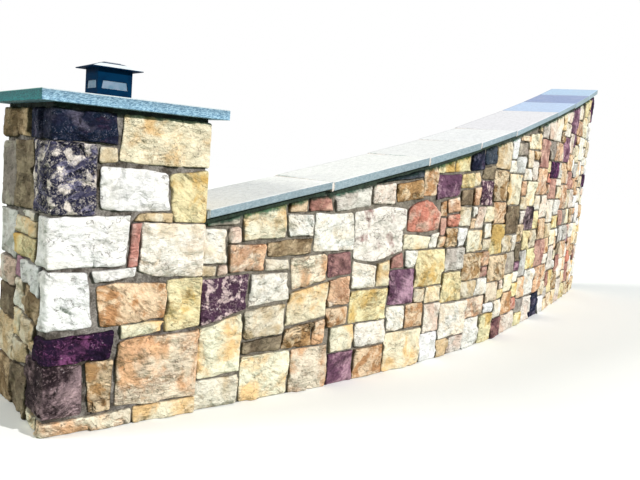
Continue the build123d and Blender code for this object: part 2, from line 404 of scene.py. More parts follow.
def on_face(plan, along, height, out):
    """Point on the masonry's face, moved out of it by a distance."""
    index = 0
    while index < len(plan) - 2 and along > plan[index + 1][0]:
        index += 1
    start, first, first_spread = plan[index]
    stop, second, second_spread = plan[index + 1]
    share = (along - start) / (stop - start)
    spot = (first + out * first_spread).lerp(second + out * second_spread, share)
    return Vector((spot.x, spot.y, height))


def rim_spacing(length, cell):
    """Distances along a side of a stone, close together where its edges are rounded."""
    fit = min(1.0, length / 0.05)
    near = [0.0, 0.0025 * fit, 0.006 * fit, 0.012 * fit, 0.020 * fit]
    span = length - 2 * near[-1]
    count = max(1, round(span / cell))
    inner = [near[-1] + span * step / count for step in range(1, count)]
    return near + inner + [length - distance for distance in reversed(near)]


def along_edge(edge, corners):
    """Edge points, with one more at each corner of the plan that the stone wraps."""
    made = [edge[0]]
    for first, second in zip(edge, edge[1:]):
        for corner in corners:
            if first[0] < corner < second[0]:
                share = (corner - first[0]) / (second[0] - first[0])
                made.append((corner, first[1] + (second[1] - first[1]) * share))
        made.append(second)
    return made


def rounded_line(points):
    """Edge with its bends rounded off, its two ends kept."""
    for turn in range(2 if len(points) > 2 else 0):
        cut = [points[0]]
        for (first_x, first_z), (second_x, second_z) in zip(points, points[1:]):
            cut.append((0.75 * first_x + 0.25 * second_x, 0.75 * first_z + 0.25 * second_z))
            cut.append((0.25 * first_x + 0.75 * second_x, 0.25 * first_z + 0.75 * second_z))
        points = [cut[0]] + cut[2:-2] + [points[-1]]
    return points


def open_edges(verts):
    """Edges round the hole at some vertices, in the vertices' order."""
    return list(dict.fromkeys(edge for vert in verts for edge in vert.link_edges
                              if len(edge.link_faces) == 1))


stone_depth = 0.060
face_setback = (-0.004, 0.003)
deepest_face = -0.0105
proudest_face = 0.0075
corner_reach = 0.024
corner_rounding = 0.24
rim_reach = 0.022
calm_reach = 0.05
bend_steps = (-0.016, -0.008, 0.0, 0.008, 0.016)
bend_clear = 0.020
back_taper = 0.04


def cut_stone(bm, plan, corners, underside, kind, lower, upper, seed, cell, swell=0.0):
    """One stone: a grid shaped to the stone's outline, split face in front, closed behind."""
    rng = random.Random(seed)
    at_foot = lower[0][1] < 0.001
    sink = 0.0 if at_foot else -swell
    lower = [(along + (swell if along > lower[0][0] else -swell), height + sink)
             for along, height in lower]
    upper = [(along + (swell if along > upper[0][0] else -swell), height + swell)
             for along, height in upper]
    lower = along_edge(rounded_line(lower), corners)
    upper = along_edge(rounded_line(upper), corners)
    lengths = [((second[0] - first[0]) + (above[0] - before[0])) / 2
               for first, second, before, above in zip(lower, lower[1:], upper, upper[1:])]
    starts = [sum(lengths[:post]) for post in range(len(lengths))]
    width = sum(lengths)
    tall = (upper[0][1] - lower[0][1] + upper[-1][1] - lower[-1][1]) / 2
    rows = rim_spacing(tall, cell)
    across = rim_spacing(width, cell)
    for (along, height), post in zip(lower, starts):
        if along in corners and 0.0 < post < width:
            bend = [post + step for step in bend_steps]
            across = [x for x in across if abs(x - post) > bend_clear] + bend
    across = sorted(x for x in across if 0.0 <= x <= width)

    # Shape of this stone: its corners, arrises, setback, lean, bulge and roughness
    round_off = min(0.013, 0.14 * min(width, tall)) * rng.uniform(0.4, 1.4)
    arris = min(0.014, 0.22 * tall) * rng.uniform(0.7, 1.1)
    setback = rng.uniform(*face_setback)
    lean = (rng.uniform(-0.03, 0.03), rng.uniform(-0.035, 0.035))
    crown = rng.uniform(0.003, 0.008)
    rough = rng.uniform(0.7, 1.25)
    drift = Vector((rng.uniform(-50, 50), rng.uniform(-50, 50), rng.uniform(-50, 50)))

    def on_stone(x, y):
        """Point of the outline's inside from distances across and up the stone."""
        post = max(index for index in range(len(lengths)) if x >= starts[index] - 1e-9)
        share = (x - starts[post]) / lengths[post]
        low_x = lower[post][0] + (lower[post + 1][0] - lower[post][0]) * share
        low_z = lower[post][1] + (lower[post + 1][1] - lower[post][1]) * share
        high_x = upper[post][0] + (upper[post + 1][0] - upper[post][0]) * share
        high_z = upper[post][1] + (upper[post + 1][1] - upper[post][1]) * share
        return low_x + (high_x - low_x) * y / tall, low_z + (high_z - low_z) * y / tall

    def facet(place, scale, steep):
        """Height of the flat chip that a point lies on."""
        spots = noise.voronoi(place * scale)[1]
        cell_middle = Vector(spots[0])
        tilt = Vector(noise.cell_vector(cell_middle * 7.3)) - Vector((0.5, 0.5, 0.5))
        return (place * scale - cell_middle).dot(tilt) * steep / scale

    # Split face, drawn in where it wraps a corner of the masonry
    grid = bmesh.ops.create_grid(bm, x_segments=len(across) - 1, y_segments=len(rows) - 1, size=1.0)
    spots = {}
    rims = {}
    for vert in grid["verts"]:
        x = across[round((vert.co.x + 1) / 2 * (len(across) - 1))]
        y = rows[round((vert.co.y + 1) / 2 * (len(rows) - 1))]
        side, foot = min(x, width - x), min(y, tall - y)
        if side < round_off and foot < round_off:
            a, b = (round_off - side) / round_off, (round_off - foot) / round_off
            bent_a, bent_b = a * math.sqrt(1 - b * b / 2), b * math.sqrt(1 - a * a / 2)
            new_side, new_foot = round_off * (1 - bent_a), round_off * (1 - bent_b)
            x += (new_side - side) * (1 if x <= width - x else -1)
            y += (new_foot - foot) * (1 if y <= tall - y else -1)
            inside = round_off * (1 - math.hypot(bent_a, bent_b))
        else:
            inside = min(side, foot)
        along, height = on_stone(x, y)
        wave = Vector((along, height, 0.0)) + drift
        at_bend = min([1.0] + [abs(along - corner) / calm_reach for corner in corners])
        along += at_bend * (0.0050 * noise.noise(wave * 12) + 0.0025 * noise.noise(wave * 37))
        if not at_foot:
            height += 0.0050 * noise.noise(wave * 11 + drift) + 0.0025 * noise.noise(wave * 35)
        near_rim = max(0.0, 1 - inside / arris)
        fall = 0.6 * arris * (1 - math.sqrt(max(0.0, 1 - near_rim * near_rim)))
        relief = lean[0] * (x - width / 2) + lean[1] * (y - tall / 2) - setback
        relief += crown * (1 - (2 * x / width - 1) ** 4) * (1 - (2 * y / tall - 1) ** 4) - 0.003
        relief += rough * (facet(wave, 8.0, 0.30) + facet(wave, 21.0, 0.26))
        relief += rough * 0.005 * noise.noise(wave * 6)
        relief -= rough * 0.009 * abs(noise.noise(wave * 10 + drift))
        relief = max(deepest_face, min(relief, proudest_face))
        for corner in corners:
            gap = abs(along - corner)
            if gap < corner_reach:
                relief = min(relief, 0.002) * gap / corner_reach
                relief -= corner_rounding * (corner_reach - gap) ** 2 / corner_reach
        vert.co = on_face(plan, along, max(height, 0.0), relief - fall)
        spots[tuple(vert.co)] = (along, max(height, 0.0))
        rims[vert] = min(1.0, inside / rim_reach)
        vert[bm.verts.layers.float["depth"]] = underside(along) - height

    # Sides and back, in the mortar
    pulled = bmesh.ops.extrude_edge_only(bm, edges=open_edges(grid["verts"]))["geom"]
    back = [item for item in pulled if isinstance(item, bmesh.types.BMVert)]
    middle = (sum(point[0] for point in lower + upper) / len(lower + upper),
              sum(point[1] for point in lower + upper) / len(lower + upper))
    for vert in back:
        along, height = spots[tuple(vert.co)]
        along += (middle[0] - along) * back_taper
        if height > 0.001:
            height += (middle[1] - height) * back_taper
        vert.co = on_face(plan, along, height, -stone_depth)
    bmesh.ops.holes_fill(bm, edges=open_edges(back), sides=0)

    # Colours, a little lighter or darker and warmer or cooler than its kind
    body, stain, stain_share, softness, vein, vein_strength, cracks, layers = stone_kinds[kind]
    light = rng.uniform(0.93, 1.05)
    warm = rng.uniform(-0.03, 0.03)
    shift = (light * (1 + warm), light, light * (1 - warm))
    tones = [Vector(min(1.0, value * turn) for value, turn in zip(paint(*chart)[:3], shift))
             for chart in (body, stain, vein)]
    colours = [(tones[0], softness), (tones[1], stain_share * rng.uniform(0.8, 1.2)),
               (tones[2], vein_strength)]
    own_seed = rng.uniform(0, 40)
    for vert in grid["verts"] + back:
        for layer, (tone, alpha) in zip(("body", "stain", "vein"), colours):
            vert[bm.verts.layers.float_color[layer]] = (*tone, alpha)
        vert[bm.verts.layers.float["rim"]] = rims.get(vert, 0.0)
        vert[bm.verts.layers.float["seed"]] = own_seed
        vert[bm.verts.layers.float["cracks"]] = cracks
        vert[bm.verts.layers.float["layers"]] = layers


def stone_mesh():
    """Empty mesh with the attributes that the stones' finish reads."""
    bm = bmesh.new()
    for layer in ("body", "stain", "vein"):
        bm.verts.layers.float_color.new(layer)
    for layer in ("rim", "seed", "cracks", "layers", "depth"):
        bm.verts.layers.float.new(layer)
    return bm


def finish_piece(bm, name, material, slot, *nodes, smooth=True):
    """Object of a finished mesh, riding on the wall and standing for its CAD nodes."""
    bmesh.ops.recalc_face_normals(bm, faces=bm.faces)
    for face in bm.faces:
        face.smooth = smooth
    mesh = bpy.data.meshes.new(name)
    bm.to_mesh(mesh)
    bm.free()
    mesh.materials.append(material)
    piece = bpy.data.objects.new(name, mesh)
    bpy.context.scene.collection.objects.link(piece)
    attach(piece, "root")
    if nodes:
        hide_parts(*nodes)
    return piece


dark_kinds = ("maroon", "purple", "blotched", "navy", "umber", "slate", "quartzed")
joint = 0.008
raster = 0.01

# Sizes of the rubble in cells of that raster
narrowest = 7
widest = 36
lowest_stone = 5
tallest_room = 34
level_step = 3
least_rest = 9
short_width, long_width, usual_width = 13, 38, 23
least_height, most_height = 8, 24

# Distances that keep stones of one kind, and dark stones of all kinds, apart
same_kind_gap = 0.26
dark_gap = 0.8


def lay_rubble(rng, start, stop, ceiling, laid, loop=None):
    """Stones of random sizes in all that is free between two stations, from the foot up."""
    columns = round((stop - start) / raster)
    centres = [start + (column + 0.5) * raster for column in range(columns)]
    tops = [ceiling(centre) for centre in centres]
    rows = int(max(tops) / raster) + 1
    free = numpy.zeros((columns, rows), bool)
    levels = (numpy.arange(rows) + 0.5) * raster
    for column, top in enumerate(tops):
        free[column] = levels < top
    for kind, lower, upper in laid:
        for turn in ((0.0,) if loop is None else (-loop, 0.0, loop)):
            low_x, low_z = zip(*lower)
            high_x, high_z = zip(*upper)
            left = (low_x[0] + high_x[0]) / 2 + turn - joint / 2
            right = (low_x[-1] + high_x[-1]) / 2 + turn + joint / 2
            for column, centre in enumerate(centres):
                if left < centre < right:
                    floor_z = numpy.interp(centre - turn, low_x, low_z) - joint / 2
                    roof_z = numpy.interp(centre - turn, high_x, high_z) + joint / 2
                    free[column][(levels > floor_z) & (levels < roof_z)] = False
    stones = []
    near = [(lower[0], kind) for kind, lower, upper in laid]
    for row in range(rows):
        column = 0
        while column < columns:
            if not free[column, row]:
                column += 1
                continue

            # Free cells from here on, and the height that is free above each
            floors = []
            while column + len(floors) < columns:
                open_rows = numpy.flatnonzero(free[column + len(floors), row:row + 3])
                if not len(open_rows):
                    break
                floors.append(int(open_rows[0]))
            run = len(floors)
            if run < narrowest:
                column += run
                continue
            room = []
            for step in range(run):
                blocked = numpy.flatnonzero(~free[column + step, row + floors[step]:])
                high = floors[step] + int(blocked[0]) if len(blocked) else rows - row
                room.append(min(tallest_room, high))

            # Places too low or too stepped for a stone are left to the mortar
            low_steps = [step for step in range(run) if room[step] <= lowest_stone]
            low_steps += [step for step in range(1, min(narrowest, run))
                          if abs(room[step] - room[step - 1]) > level_step]
            if low_steps and min(low_steps) < narrowest:
                skipped = min(low_steps)
                while skipped < run and room[skipped] <= lowest_stone:
                    skipped += 1
                column += max(1, skipped)
                continue
            if low_steps:
                run = min(low_steps)

            # Width and height by chance, within what is free
            wide = int(rng.triangular(short_width, long_width, usual_width))
            if run <= short_width:
                wide = run
            elif run - wide < least_rest:
                wide = run if run <= widest else run // 2
            for step in range(narrowest, min(run, wide + 5)):
                if abs(room[step] - room[step - 1]) > level_step:
                    wide = step
                    break
            wide = min(wide, run)
            base = row + max(floors[:wide]) if row else 0
            room = [height - (base - row) for height in room]
            lowest = min(room[:wide])
            if lowest < lowest_stone:
                column += wide
                continue
            tall = int(wide * rng.uniform(0.42, 0.95) + rng.uniform(1, 4))
            tall = max(least_height, min(most_height, tall))
            if column and not free[column - 1, base]:
                beside = numpy.flatnonzero(free[column - 1, base:])
                if len(beside) and abs(int(beside[0]) - tall) <= level_step:
                    tall = max(6, int(beside[0]))

            # A stone that nearly reaches what is above it is cut to reach it
            reach_top = lowest - tall < 7
            if reach_top and lowest > 26:
                tall = lowest // 2
                reach_top = False
            left_top = right_top = min(tall, lowest)
            if reach_top:
                left_top, right_top = room[0], room[wide - 1]
                line = numpy.linspace(left_top, right_top, wide)
                over = float(max(0.0, max(line - numpy.array(room[:wide]))))
                left_top, right_top = left_top - over, right_top - over
                if abs(left_top - right_top) > 0.3 * wide or min(left_top, right_top) < lowest_stone:
                    left_top = right_top = lowest
                    reach_top = False
            for step in range(wide):
                filled = room[step] if reach_top else left_top
                free[column + step, row:base + int(filled)] = False
            left = start + column * raster + joint / 2
            right = start + (column + wide) * raster - joint / 2
            foot = base * raster + (joint / 2 if row else 0.0)
            roofs = [(base + top) * raster - joint / 2 for top in (left_top, right_top)]
            if right - left > 0.025:
                slant = [rng.uniform(-0.004, 0.004) for corner in range(2)]
                lower = [(left + slant[0], foot), (right + slant[1], foot)]
                upper = [(left - slant[0], roofs[0]), (right - slant[1], roofs[1])]
                beside = {name for spot, name in near if math.dist(lower[0], spot) < same_kind_gap}
                if any(math.dist(lower[0], spot) < dark_gap
                       for spot, name in near if name in dark_kinds):
                    beside |= set(dark_kinds)
                weights = [0.02 if name in beside else weight
                           for name, weight in common_kinds.items()]
                kind = rng.choices(list(common_kinds), weights=weights)[0]
                near.append((lower[0], kind))
                stones.append((kind, lower, upper))
            column += wide
    return stones


fine_raster = 0.004
margin = 0.05

# Most that a stone's ends may lean and its bed may slope, once its corners move far
most_lean = 0.22
most_slope = 0.20
far_move = 0.02


def covered(stone, stations, levels, turn=0.0):
    """Which points of a fine raster a stone covers together with half of its joints."""
    kind, lower, upper = stone
    half = joint / 2
    low_x, low_z = zip(*lower)
    high_x, high_z = zip(*upper)
    stations = stations - turn
    floor_z = numpy.interp(stations, low_x, low_z) - half
    roof_z = numpy.interp(stations, high_x, high_z) + half
    sides = []
    for end in (0, -1):
        rise = (levels - low_z[end]) / (high_z[end] - low_z[end])
        sides.append(low_x[end] + (high_x[end] - low_x[end]) * numpy.clip(rise, 0, 1))
    stations, levels = stations[:, None], levels[None, :]
    inside = (stations > sides[0][None, :] - half) & (stations < sides[1][None, :] + half)
    return inside & (levels > floor_z[:, None]) & (levels < roof_z[:, None])


def fit_closer(rng, stones, reaches, start, stop, ceiling, loop=None):
    """Moves the stones' corners outwards until the joints are narrow, each by its reach."""
    columns = int((stop - start) / fine_raster) + 1
    stations = start + numpy.arange(columns) * fine_raster
    tops = numpy.array([ceiling(float(station)) for station in stations])
    levels = (numpy.arange(int(tops.max() / fine_raster) + 2) + 0.5) * fine_raster
    owner = numpy.where(levels[None, :] > tops[:, None], -1, 0).astype(numpy.int32)
    turns = (0.0,) if loop is None else (-loop, 0.0, loop)
    for index, stone in enumerate(stones):
        for turn in turns:
            owner[covered(stone, stations, levels, turn) & (owner == 0)] = index + 1
    fitted = [[kind, [list(spot) for spot in lower], [list(spot) for spot in upper]]
              for kind, lower, upper in stones]
    start_shape = [[[list(spot) for spot in line] for line in stone[1:]] for stone in fitted]
    for sweep in range(3):
        order = list(range(len(stones)))
        rng.shuffle(order)
        for index in order:
            stone = fitted[index]
            if reaches[index] <= 0 or stone[1][0][0] < start or stone[1][-1][0] > stop:
                continue
            low = min(spot[0] for spot in stone[1] + stone[2]) - margin
            high = max(spot[0] for spot in stone[1] + stone[2]) + margin
            first = max(0, int((low - start) / fine_raster))
            last = min(columns, int((high - start) / fine_raster) + 2)
            base = max(0, int((min(spot[1] for spot in stone[1]) - margin) / fine_raster))
            peak = int((max(spot[1] for spot in stone[2]) + margin) / fine_raster) + 2
            area = owner[first:last, base:peak]
            near_stations, near_levels = stations[first:last], levels[base:peak]
            others = (area != 0) & (area != index + 1)
            held = covered(stone, near_stations, near_levels) & others
            moves = [(1, 0, 0, -1), (1, -1, 0, 1), (2, 0, 0, -1), (2, -1, 0, 1)]
            moves += [(2, post, 1, 1) for post in range(len(stone[2]))]
            if stone[1][0][1] > 0.001:
                moves += [(1, post, 1, -1) for post in range(len(stone[1]))]
            rng.shuffle(moves)
            for line, post, axis, way in moves:
                while True:
                    begun = start_shape[index][line - 1][post][axis]
                    if abs(stone[line][post][axis] - begun) > reaches[index]:
                        break
                    stone[line][post][axis] += way * fine_raster
                    end = 0 if post == 0 else -1
                    tall = stone[2][end][1] - stone[1][end][1]
                    leans = abs(stone[2][end][0] - stone[1][end][0]) > most_lean * tall + 0.01
                    rise = abs(stone[line][0][1] - stone[line][-1][1])
                    slopes = rise > most_slope * (high - low - 2 * margin) + 0.01
                    if reaches[index] > far_move and (leans if axis == 0 else slopes):
                        stone[line][post][axis] -= way * fine_raster
                        break
                    if (covered(stone, near_stations, near_levels) & others & ~held).any():
                        stone[line][post][axis] -= way * fine_raster
                        break
            mine = covered(stone, near_stations, near_levels) & ~others
            area[area == index + 1] = 0
            area[mine] = index + 1
    return [(kind, [tuple(spot) for spot in lower], [tuple(spot) for spot in upper])
            for kind, lower, upper in fitted]


def corner_stones(rng, corner, short, long, top):
    """Long and short stones in turn up an outside corner, as a mason bonds it."""
    stones = []
    height = 0.0
    turn = rng.random() < 0.5
    while top - height > 0.05:
        tall = rng.uniform(0.13, 0.22)
        if top - height - tall < 0.10:
            tall = top - height
        left, right = (long, short) if turn else (short, long)
        left *= rng.uniform(0.85, 1.15)
        right *= rng.uniform(0.85, 1.15)
        foot = height + (joint / 2 if height else 0.0)
        roof = height + tall - joint / 2
        kind = rng.choice(["cream", "tan", "white", "yellow", "buff", "brown", "purple"])
        stones.append((kind, [(corner - left, foot), (corner + right, foot)],
                       [(corner - left, roof), (corner + right, roof)]))
        height += tall
        turn = not turn
    return stones


pier_low, pier_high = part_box("pier_masonry")
pier_side = pier_high.x - pier_low.x
pier_corners = [(pier_low.x, pier_high.y), (pier_low.x, pier_low.y),
                (pier_high.x, pier_low.y), (pier_high.x, pier_high.y)]
pier_points = [Vector(pier_corners[index % 4]) for index in range(3, 10)]
pier_headings = [math.radians(angle) for angle in range(180, 631, 90)]
pier_plan = [(distance - 2 * pier_side, point, spread)
             for distance, point, spread in outline(pier_points, pier_headings)]
pier_bends = [pier_side * turn for turn in (-1, 0, 1, 2, 3)]
bed_joint = 0.018
cap_cover = 0.020
rubble_reach = 0.045


def pier_bed(along):
    """Height of the stones' tops under the cap, the same all round."""
    return pier_high.z - bed_joint


def pier_underside(along):
    """Height from which the painted shadow under the cap is counted."""
    return pier_high.z + cap_cover


stone_finish = fieldstone_material()
rng = random.Random(11)
laid = list(pier_stones)
laid += corner_stones(rng, 2 * pier_side, 0.13, 0.26, pier_high.z - bed_joint)
rubble = lay_rubble(rng, -pier_side, 3 * pier_side, pier_bed, laid, loop=4 * pier_side)
reaches = [0.0] * len(laid) + [rubble_reach] * len(rubble)
laid = fit_closer(rng, laid + rubble, reaches, -pier_side, 3 * pier_side, pier_bed,
                  loop=4 * pier_side)
bm = stone_mesh()
for index, (kind, lower, upper) in enumerate(laid):
    hand_laid = index < len(pier_stones)
    cell, swell = (0.009, 0.003) if hand_laid else (0.016, 0.0)
    cut_stone(bm, pier_plan, pier_bends, pier_underside, kind, lower, upper, 100 + index,
              cell, swell)
finish_piece(bm, "pier_stones", stone_finish, "fieldstone", "pier_masonry")


# Mortar of the pier: grey-brown bedding that fills the core behind the stones, trowelled in
# as they are laid and raked back from their faces.
def mortar_material(name, dry, wet):
    """Sandy lime mortar with darker damp patches."""
    material, tree, shader, place = new_material(name, 0.95)
    damp = clouds(tree, place, 13.0, 8.0, 0.68)
    sand = clouds(tree, place, 150.0, 5.0, 0.7)
    colour = mix(tree, fade(tree, damp, 0.38, 0.62), dry, wet)
    colour = toned(tree, colour, fade(tree, sand, 0.36, 0.64, 0.62, 1.22))
    # Painted shadow, dark green, close under the cap and the coping
    colour = mix(tree, painted_shadow_line(tree, place), colour, painted_shadow_tone, "MULTIPLY")
    tree.links.new(colour, shader.inputs["Base Color"])
    lumps = clouds(tree, place, 42.0, 7.0)
    roughen(tree, shader, plus(tree, lumps, times(tree, sand, 0.3)), 1.0, 0.014)
    return material


joint_depth = 0.018
pier_bedding = mortar_material("pier_mortar", paint(146, 140, 134), paint(70, 62, 54))


def mortar_core(name, corners, cuts, cover, finish, *nodes):
    """Core of mortar on four plan corners with their heights, with trowelled, uneven sides."""
    bm = bmesh.new()
    depth = bm.verts.layers.float.new("depth")
    cube = bmesh.ops.create_cube(bm, size=2.0)
    order = {(-1, -1): 0, (1, -1): 1, (1, 1): 2, (-1, 1): 3}
    for vert in cube["verts"]:
        spot, top = corners[order[round(vert.co.x), round(vert.co.y)]]
        vert[depth] = cover if vert.co.z > 0 else cover + top
        vert.co = (spot.x, spot.y, top if vert.co.z > 0 else 0.0)
    bmesh.ops.subdivide_edges(bm, edges=bm.edges, cuts=cuts, use_grid_fill=True)
    for vert in bm.verts:
        push = noise.noise(vert.co * 9) * 0.0025 + noise.noise(vert.co * 31) * 0.0015
        vert.co.x += push * vert.normal.x
        vert.co.y += push * vert.normal.y
    finish_piece(bm, name, finish, "mortar", *nodes)


inner = pier_side / 2 - joint_depth
mortar_core("pier_mortar", [(Vector(spot), pier_high.z) for spot in
                            ((-inner, -inner), (inner, -inner), (inner, inner), (-inner, inner))],
            30, cap_cover, pier_bedding, "pier_masonry")


# Wall: the same stonework in straight bays, each running up to the underside of its coping.
# Distances along the wall's face start at the pier and go round the far end to the back.
def node_corners(node):
    """A bay's corners in plan with its top there: front start, front end, back end, back start."""
    tops = {}
    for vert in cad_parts[node].data.vertices:
        spot = (round(vert.co.x, 3), round(vert.co.y, 3))
        tops[spot] = max(tops.get(spot, (0.0, vert.co))[0], vert.co.z), vert.co.xy
    climb = Vector((0.976, 0.218))
    across = Vector((-climb.y, climb.x))
    found = sorted(tops.values(), key=lambda item: item[1].dot(climb))
    front_start, back_start = sorted(found[:2], key=lambda item: item[1].dot(across))
    front_end, back_end = sorted(found[2:], key=lambda item: item[1].dot(across))
    return [(Vector(spot), top) for top, spot in (front_start, front_end, back_end, back_start)]


bay_count = 8
bays = [node_corners(f"wall_bay_{number}") for number in range(1, bay_count + 1)]
wall_points = [bays[0][0][0]] + [bay[1][0] for bay in bays]
wall_points += [bay[2][0] for bay in reversed(bays)] + [bays[0][3][0]]
wall_headings = []
for first, second in zip(wall_points, wall_points[1:]):
    heading = math.atan2(second.y - first.y, second.x - first.x)
    wall_headings.append(heading if heading > -1.0 else heading + 2 * math.pi)
wall_plan = outline(wall_points, wall_headings)
far_corners = [wall_plan[bay_count][0], wall_plan[bay_count + 1][0]]
wall_end = wall_plan[-1][0]

# Heights of the coping's underside along the same outline
bed_line = []
for index, bay in enumerate(bays):
    bed_line += [(wall_plan[index][0], bay[0][1]), (wall_plan[index + 1][0] - 1e-4, bay[1][1])]
for index, bay in enumerate(reversed(bays)):
    start = bay_count + 1 + index
    bed_line += [(wall_plan[start][0], bay[2][1]), (wall_plan[start + 1][0] - 1e-4, bay[3][1])]
bed_stations, bed_heights = zip(*bed_line)


def coping_foot(along):
    """Height of the coping's underside."""
    return float(numpy.interp(along, bed_stations, bed_heights))


coping_joint = 0.027


def coping_bed(along):
    """Height of the stones' tops under the coping."""
    return coping_foot(along) - coping_joint


# Stones of the first bays: kind, lower edge and upper edge, as on the pier
wall_stones = [
    ("grey", [(0.016, 0.880), (0.192, 0.889)], [(0.016, 0.908), (0.203, 0.950)]),
    ("cream", [(0.004, 0.702), (0.136, 0.703)], [(0.004, 0.872), (0.124, 0.873)]),
    ("pinkish", [(0.140, 0.806), (0.200, 0.808)], [(0.135, 0.868), (0.198, 0.878)]),
    ("tan", [(0.225, 0.818), (0.474, 0.822)], [(0.216, 0.954), (0.468, 1.004)]),
    ("orange", [(0.160, 0.663), (0.358, 0.656)], [(0.146, 0.790), (0.352, 0.786)]),
    ("olive", [(0.386, 0.733), (0.500, 0.728), (0.650, 0.742)],
     [(0.363, 0.792), (0.500, 0.814), (0.646, 0.820)]),
    ("cream", [(0.370, 0.660), (0.508, 0.655)], [(0.373, 0.714), (0.512, 0.710)]),
    ("cream", [(0.503, 0.833), (0.650, 0.833)], [(0.488, 0.942), (0.648, 0.944)]),
    ("brown", [(0.487, 0.957), (0.603, 0.957)], [(0.484, 1.006), (0.602, 1.034)]),
    ("rosy", [(0.617, 0.957), (0.770, 0.962)], [(0.615, 1.040), (0.762, 1.068)]),
    ("cream", [(0.670, 0.742), (0.810, 0.745), (0.955, 0.752)],
     [(0.658, 0.948), (0.800, 0.950), (0.940, 0.948)]),
    ("pale", [(0.812, 0.968), (1.082, 0.987)], [(0.786, 1.066), (1.068, 1.106)]),
    ("pinkish", [(1.096, 1.002), (1.285, 1.008)], [(1.086, 1.110), (1.283, 1.126)]),
    ("stained", [(0.980, 0.700), (1.100, 0.672), (1.250, 0.680), (1.388, 0.728)],
     [(0.966, 0.958), (1.120, 0.985), (1.290, 1.005), (1.392, 0.975)]),
    ("blotched", [(0.020, 0.410), (0.150, 0.432), (0.250, 0.474)],
     [(0.012, 0.632), (0.150, 0.638), (0.272, 0.642)]),
    ("cream", [(0.286, 0.485), (0.522, 0.502)], [(0.292, 0.644), (0.506, 0.642)]),
    ("sand", [(0.548, 0.553), (0.774, 0.592)], [(0.527, 0.712), (0.760, 0.729)]),
    ("maroon", [(0.790, 0.602), (0.972, 0.615)], [(0.775, 0.730), (0.955, 0.735)]),
    ("buff", [(0.010, 0.647), (0.070, 0.648)], [(0.010, 0.688), (0.078, 0.690)]),
    ("pinkish", [(0.086, 0.650), (0.140, 0.654)], [(0.092, 0.690), (0.130, 0.690)]),
    ("tan", [(0.010, 0.150), (0.130, 0.155), (0.255, 0.160)],
     [(0.010, 0.400), (0.130, 0.418), (0.244, 0.456)]),
    ("buff", [(0.270, 0.315), (0.505, 0.330)], [(0.258, 0.460), (0.505, 0.488)]),
    ("tan", [(0.520, 0.360), (0.790, 0.395)], [(0.524, 0.536), (0.788, 0.582)]),
    ("dun", [(1.322, 1.014), (1.552, 1.042)], [(1.302, 1.116), (1.524, 1.160)]),
    # A thin dark slate wedge under the coping, partly standing for the shadow there
    ("slate", [(1.120, 1.124), (1.530, 1.178)], [(1.120, 1.146), (1.530, 1.226)]),
    ("brown", [(1.562, 1.063), (1.692, 1.070)], [(1.545, 1.226), (1.688, 1.246)]),
    ("pink", [(1.440, 0.850), (1.520, 0.836), (1.680, 0.834), (1.770, 0.855)],
     [(1.434, 0.970), (1.500, 1.030), (1.690, 1.040), (1.765, 0.958)]),
    ("yellow", [(1.706, 1.205), (1.900, 1.216)], [(1.702, 1.262), (1.897, 1.302)]),
    ("yellow", [(1.916, 1.222), (2.090, 1.236)], [(1.913, 1.308), (2.086, 1.346)]),
    ("mauve", [(1.714, 1.036), (1.984, 1.070)], [(1.712, 1.190), (1.975, 1.200)]),
    ("yellow", [(1.998, 1.110), (2.166, 1.122)], [(1.996, 1.200), (2.166, 1.218)]),
    ("tan", [(2.180, 1.130), (2.246, 1.140)], [(2.180, 1.216), (2.246, 1.226)]),
    ("orange", [(1.862, 0.955), (2.012, 0.965)], [(1.856, 1.040), (2.000, 1.058)]),
    ("brown", [(1.786, 0.930), (1.848, 0.935)], [(1.782, 1.018), (1.842, 1.030)]),
    ("navy", [(2.105, 1.240), (2.300, 1.250)], [(2.100, 1.350), (2.296, 1.394)]),
    ("slate", [(2.316, 1.285), (2.500, 1.300)], [(2.310, 1.398), (2.496, 1.438)]),
    ("grey", [(2.900, 1.380), (3.150, 1.390)], [(2.900, 1.470), (3.150, 1.490)]),
    ("tan", [(3.200, 1.440), (3.550, 1.452)], [(3.200, 1.550), (3.550, 1.590)]),
]

rng = random.Random(29)
laid = [(kind, lower, [(along, min(height, coping_bed(along))) for along, height in upper])
        for kind, lower, upper in wall_stones]
for corner in far_corners:
    laid += corner_stones(rng, corner, 0.12, 0.21, coping_bed(corner))
reaches = [0.006] * len(wall_stones) + [0.0] * (len(laid) - len(wall_stones))
rubble = lay_rubble(rng, 0.0, round(wall_end, 2), coping_bed, laid)
reaches += [rubble_reach] * len(rubble)
laid = fit_closer(rng, laid + rubble, reaches, 0.0, wall_end, coping_bed)

wall_bedding = mortar_material("wall_mortar", paint(142, 134, 122), paint(96, 90, 80))
bay_meshes = [stone_mesh() for bay in bays]
bay_stops = [wall_plan[index + 1][0] for index in range(bay_count)]
back_stops = [wall_plan[2 * bay_count - index][0] for index in range(bay_count)]
for index, (kind, lower, upper) in enumerate(laid):
    centre = (lower[0][0] + lower[-1][0]) / 2
    if centre < bay_stops[-1]:
        bay = sum(centre > stop for stop in bay_stops)
    else:
        bay = min(bay_count - 1, sum(centre < stop for stop in back_stops))
    hand_laid = index < len(wall_stones)
    cell, swell = (0.011, -0.002) if hand_laid else (0.018, -0.001)
    cut_stone(bay_meshes[bay], wall_plan, far_corners, coping_foot, kind, lower, upper,
              900 + index, cell, swell)
for index, bm in enumerate(bay_meshes):
    number = index + 1
    finish_piece(bm, f"bay_{number}_stones", stone_finish, "fieldstone", f"wall_bay_{number}")
    first, second = wall_plan[index], wall_plan[index + 1]
    third, fourth = wall_plan[2 * bay_count - index], wall_plan[2 * bay_count + 1 - index]
    plan_corners = [point - joint_depth * spread for along, point, spread in
                    (first, second, third, fourth)]
    tops = [top for spot, top in bays[index]]
    mortar_core(f"bay_{number}_mortar", list(zip(plan_corners, tops)), 16, 0.0, wall_bedding,
                f"wall_bay_{number}")
